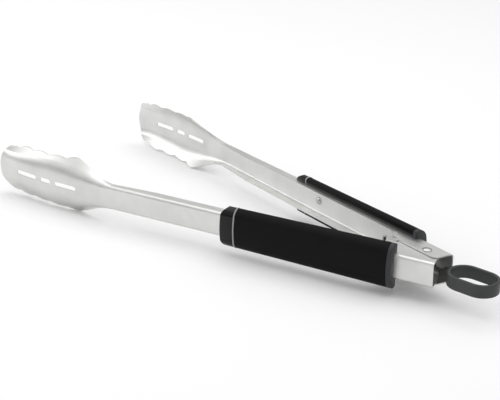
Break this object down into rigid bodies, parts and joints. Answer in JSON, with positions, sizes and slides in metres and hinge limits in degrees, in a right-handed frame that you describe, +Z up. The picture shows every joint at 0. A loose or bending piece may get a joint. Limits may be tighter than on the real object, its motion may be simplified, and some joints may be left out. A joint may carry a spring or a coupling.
{
  "type": "kitchen tongs",
  "caption": "Spring-loaded locking kitchen tongs: two channel-section steel arms with slotted scalloped heads, soft grips and a hanging loop that pulls the lock.",
  "frame": {"origin": "under the middle of the whole object as it lies open on its side, at the height of the lowest head edges", "axes": "+Z up along the pivot axis, +X along the centre line between the arms towards the hanging loop, +Y towards the back arm"},
  "size_m": [0.4392, 0.1674, 0.0462],
  "materials": {
    "steel": "satin",
    "rivet_steel": "polished",
    "spring_steel": "satin",
    "nylon": "matte",
    "loop_plastic": "matte",
    "core_plastic": "matte",
    "grip_rubber": "matte",
    "cap_plastic": "satin",
    "ring_plastic": "satin",
    "nose_plastic": "gloss"
  },
  "bodies": {
    "front arm body": {"front_arm": "steel", "front_grip_core": "core_plastic", "front_grip_sleeve": "grip_rubber", "front_end_cap": "cap_plastic", "front_grip_ring": "ring_plastic", "front_nose_cap": "nose_plastic", "front_grip_rivet": "rivet_steel", "pivot_pin": "rivet_steel", "pivot_washer": "rivet_steel", "torsion_spring": "spring_steel", "spring_bush": "nylon", "spacer_sleeve": "nylon"},
    "back arm body": {"back_arm": "steel", "back_grip_core": "core_plastic", "back_grip_sleeve": "grip_rubber", "back_end_cap": "cap_plastic", "back_grip_ring": "ring_plastic", "back_nose_cap": "nose_plastic", "back_grip_rivet": "rivet_steel"},
    "lock guide body": {"slide_bush": "nylon"},
    "lock body": {"lock_plate": "steel", "cross_bar": "rivet_steel", "pull_loop": "loop_plastic"}
  },
  "joints": [
    {"name": "arm_hinge", "type": "hinge", "parent": "front arm body", "child": "back arm body", "pos_m": [0.15929, 0.00317, 0.0237], "axis": [0, 0, 1], "range_deg": [0, 23.8], "stiffness_Nm_per_rad": 0.4, "springref_deg": -28.65, "deforming": ["torsion_spring"]},
    {"name": "lock_swing", "type": "hinge", "parent": "front arm body", "child": "lock guide body", "pos_m": [0.15929, 0.00317, 0.0237], "axis": [0, 0, 1], "range_deg": [0, 11.9]},
    {"name": "lock_slide", "type": "slide", "parent": "lock guide body", "child": "lock body", "axis": [1, 0, 0], "range_m": [0, 0.008]}
  ],
  "couplings": [
    {"joint": "lock_swing", "follows": "arm_hinge", "ratio": 0.5}
  ]
}
